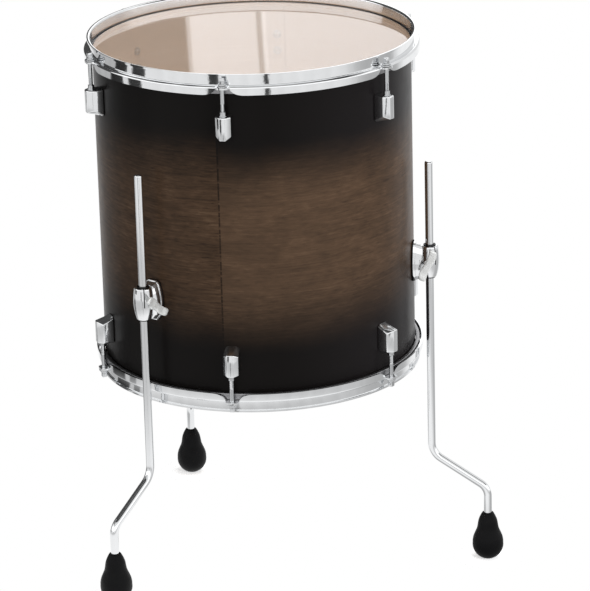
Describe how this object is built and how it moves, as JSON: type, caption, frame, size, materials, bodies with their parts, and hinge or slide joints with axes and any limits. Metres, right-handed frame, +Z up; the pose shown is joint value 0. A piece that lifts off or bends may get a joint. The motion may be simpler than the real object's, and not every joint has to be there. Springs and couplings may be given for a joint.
{
  "type": "floor tom drum",
  "caption": "Floor tom drum: dark lacquered wooden shell, clear heads, chrome hoops, lugs and rods, on bent legs with rubber feet held in wing-bolt brackets.",
  "frame": {"origin": "on the floor, under the middle of the bounding box", "axes": "+Z up; front leg towards -Y; the drum leans 4.4 degrees towards it, because that leg stands 34 mm higher in its bracket; rear right leg towards +X"},
  "size_m": [0.5536, 0.5096, 0.7139],
  "materials": {
    "shell_lacquer": "satin lacquer, dark burst",
    "hoop_chrome": "polished",
    "lug_chrome": "polished",
    "rod_chrome": "polished",
    "leg_chrome": "polished",
    "bracket_chrome": "polished",
    "head_film": "clear gloss film",
    "aluminium": "satin",
    "zinc_steel": "bright zinc",
    "foot_rubber": "matte",
    "gasket_rubber": "matte",
    "black_nylon": "satin"
  },
  "bodies": {
    "drum": {"shell": "shell_lacquer", "air_vent": "bracket_chrome", "batter_head_film": "head_film", "batter_head_flesh_hoop": "aluminium", "top_hoop": "hoop_chrome", "top_lug_1": "lug_chrome", "top_lug_2": "lug_chrome", "top_lug_3": "lug_chrome", "top_lug_4": "lug_chrome", "top_lug_5": "lug_chrome", "top_lug_6": "lug_chrome", "resonant_head_film": "head_film", "resonant_head_flesh_hoop": "aluminium", "bottom_hoop": "hoop_chrome", "bottom_lug_1": "lug_chrome", "bottom_lug_2": "lug_chrome", "bottom_lug_3": "lug_chrome", "bottom_lug_4": "lug_chrome", "bottom_lug_5": "lug_chrome", "bottom_lug_6": "lug_chrome", "front_bracket_gasket": "gasket_rubber", "front_bracket": "bracket_chrome", "front_bracket_bolt_1": "zinc_steel", "front_bracket_bolt_2": "zinc_steel", "front_bracket_bolt_3": "zinc_steel", "rear_right_bracket_gasket": "gasket_rubber", "rear_right_bracket": "bracket_chrome", "rear_right_bracket_bolt_1": "zinc_steel", "rear_right_bracket_bolt_2": "zinc_steel", "rear_right_bracket_bolt_3": "zinc_steel", "rear_left_bracket_gasket": "gasket_rubber", "rear_left_bracket": "bracket_chrome", "rear_left_bracket_bolt_1": "zinc_steel", "rear_left_bracket_bolt_2": "zinc_steel", "rear_left_bracket_bolt_3": "zinc_steel"},
    "top_tension_rod_1": {"top_tension_rod_1": "rod_chrome"},
    "top_tension_rod_2": {"top_tension_rod_2": "rod_chrome"},
    "top_tension_rod_3": {"top_tension_rod_3": "rod_chrome"},
    "top_tension_rod_4": {"top_tension_rod_4": "rod_chrome"},
    "top_tension_rod_5": {"top_tension_rod_5": "rod_chrome"},
    "top_tension_rod_6": {"top_tension_rod_6": "rod_chrome"},
    "bottom_tension_rod_1": {"bottom_tension_rod_1": "rod_chrome"},
    "bottom_tension_rod_2": {"bottom_tension_rod_2": "rod_chrome"},
    "bottom_tension_rod_3": {"bottom_tension_rod_3": "rod_chrome"},
    "bottom_tension_rod_4": {"bottom_tension_rod_4": "rod_chrome"},
    "bottom_tension_rod_5": {"bottom_tension_rod_5": "rod_chrome"},
    "bottom_tension_rod_6": {"bottom_tension_rod_6": "rod_chrome"},
    "front_wing_bolt": {"front_wing_bolt": "bracket_chrome"},
    "rear_right_wing_bolt": {"rear_right_wing_bolt": "bracket_chrome"},
    "rear_left_wing_bolt": {"rear_left_wing_bolt": "bracket_chrome"},
    "front_leg_bush": {"front_leg_bush": "black_nylon"},
    "front_leg": {"front_leg": "leg_chrome", "front_foot": "foot_rubber"},
    "rear_right_leg_bush": {"rear_right_leg_bush": "black_nylon"},
    "rear_right_leg": {"rear_right_leg": "leg_chrome", "rear_right_foot": "foot_rubber"},
    "rear_left_leg_bush": {"rear_left_leg_bush": "black_nylon"},
    "rear_left_leg": {"rear_left_leg": "leg_chrome", "rear_left_foot": "foot_rubber"}
  },
  "joints": [
    {"name": "top_tension_rod_1_turn", "type": "hinge", "parent": "drum", "child": "top_tension_rod_1", "pos_m": [-0.1072, 0.19668, 0.69818], "axis": [0, -0.0763, 0.9971], "continuous": true},
    {"name": "top_tension_rod_2_turn", "type": "hinge", "parent": "drum", "child": "top_tension_rod_2", "pos_m": [-0.2144, 0.01155, 0.68403], "axis": [0, -0.0763, 0.9971], "continuous": true},
    {"name": "top_tension_rod_3_turn", "type": "hinge", "parent": "drum", "child": "top_tension_rod_3", "pos_m": [-0.1072, -0.17359, 0.66987], "axis": [0, -0.0763, 0.9971], "continuous": true},
    {"name": "top_tension_rod_4_turn", "type": "hinge", "parent": "drum", "child": "top_tension_rod_4", "pos_m": [0.1072, -0.17359, 0.66987], "axis": [0, -0.0763, 0.9971], "continuous": true},
    {"name": "top_tension_rod_5_turn", "type": "hinge", "parent": "drum", "child": "top_tension_rod_5", "pos_m": [0.2144, 0.01155, 0.68403], "axis": [0, -0.0763, 0.9971], "continuous": true},
    {"name": "top_tension_rod_6_turn", "type": "hinge", "parent": "drum", "child": "top_tension_rod_6", "pos_m": [0.1072, 0.19668, 0.69818], "axis": [0, -0.0763, 0.9971], "continuous": true},
    {"name": "bottom_tension_rod_1_turn", "type": "hinge", "parent": "drum", "child": "bottom_tension_rod_1", "pos_m": [-0.1072, 0.22782, 0.29097], "axis": [0, 0.0763, -0.9971], "continuous": true},
    {"name": "bottom_tension_rod_2_turn", "type": "hinge", "parent": "drum", "child": "bottom_tension_rod_2", "pos_m": [-0.2144, 0.04269, 0.27681], "axis": [0, 0.0763, -0.9971], "continuous": true},
    {"name": "bottom_tension_rod_3_turn", "type": "hinge", "parent": "drum", "child": "bottom_tension_rod_3", "pos_m": [-0.1072, -0.14245, 0.26266], "axis": [0, 0.0763, -0.9971], "continuous": true},
    {"name": "bottom_tension_rod_4_turn", "type": "hinge", "parent": "drum", "child": "bottom_tension_rod_4", "pos_m": [0.1072, -0.14245, 0.26266], "axis": [0, 0.0763, -0.9971], "continuous": true},
    {"name": "bottom_tension_rod_5_turn", "type": "hinge", "parent": "drum", "child": "bottom_tension_rod_5", "pos_m": [0.2144, 0.04269, 0.27681], "axis": [0, 0.0763, -0.9971], "continuous": true},
    {"name": "bottom_tension_rod_6_turn", "type": "hinge", "parent": "drum", "child": "bottom_tension_rod_6", "pos_m": [0.1072, 0.22782, 0.29097], "axis": [0, 0.0763, -0.9971], "continuous": true},
    {"name": "front_wing_bolt_turn", "type": "hinge", "parent": "drum", "child": "front_wing_bolt", "pos_m": [0, -0.18937, 0.38143], "axis": [1, 0, 0], "continuous": true},
    {"name": "rear_right_wing_bolt_turn", "type": "hinge", "parent": "drum", "child": "rear_right_wing_bolt", "pos_m": [0.19347, 0.14476, 0.40698], "axis": [0.5, -0.8635, -0.066], "continuous": true},
    {"name": "rear_left_wing_bolt_turn", "type": "hinge", "parent": "drum", "child": "rear_left_wing_bolt", "pos_m": [-0.19347, 0.14476, 0.40698], "axis": [-0.5, -0.8635, -0.066], "continuous": true},
    {"name": "front_leg_turn", "type": "hinge", "parent": "drum", "child": "front_leg_bush", "pos_m": [0, -0.18925, 0.37993], "axis": [0, -0.0763, 0.9971], "continuous": true},
    {"name": "front_leg_height", "type": "slide", "parent": "front_leg_bush", "child": "front_leg", "axis": [0, -0.0763, 0.9971], "range_m": [-0.134, 0.066]},
    {"name": "rear_right_leg_turn", "type": "hinge", "parent": "drum", "child": "rear_right_leg_bush", "pos_m": [0.19347, 0.14487, 0.40548], "axis": [0, -0.0763, 0.9971], "continuous": true},
    {"name": "rear_right_leg_height", "type": "slide", "parent": "rear_right_leg_bush", "child": "rear_right_leg", "axis": [0, -0.0763, 0.9971], "range_m": [-0.1, 0.1]},
    {"name": "rear_left_leg_turn", "type": "hinge", "parent": "drum", "child": "rear_left_leg_bush", "pos_m": [-0.19347, 0.14487, 0.40548], "axis": [0, -0.0763, 0.9971], "continuous": true},
    {"name": "rear_left_leg_height", "type": "slide", "parent": "rear_left_leg_bush", "child": "rear_left_leg", "axis": [0, -0.0763, 0.9971], "range_m": [-0.1, 0.1]}
  ]
}
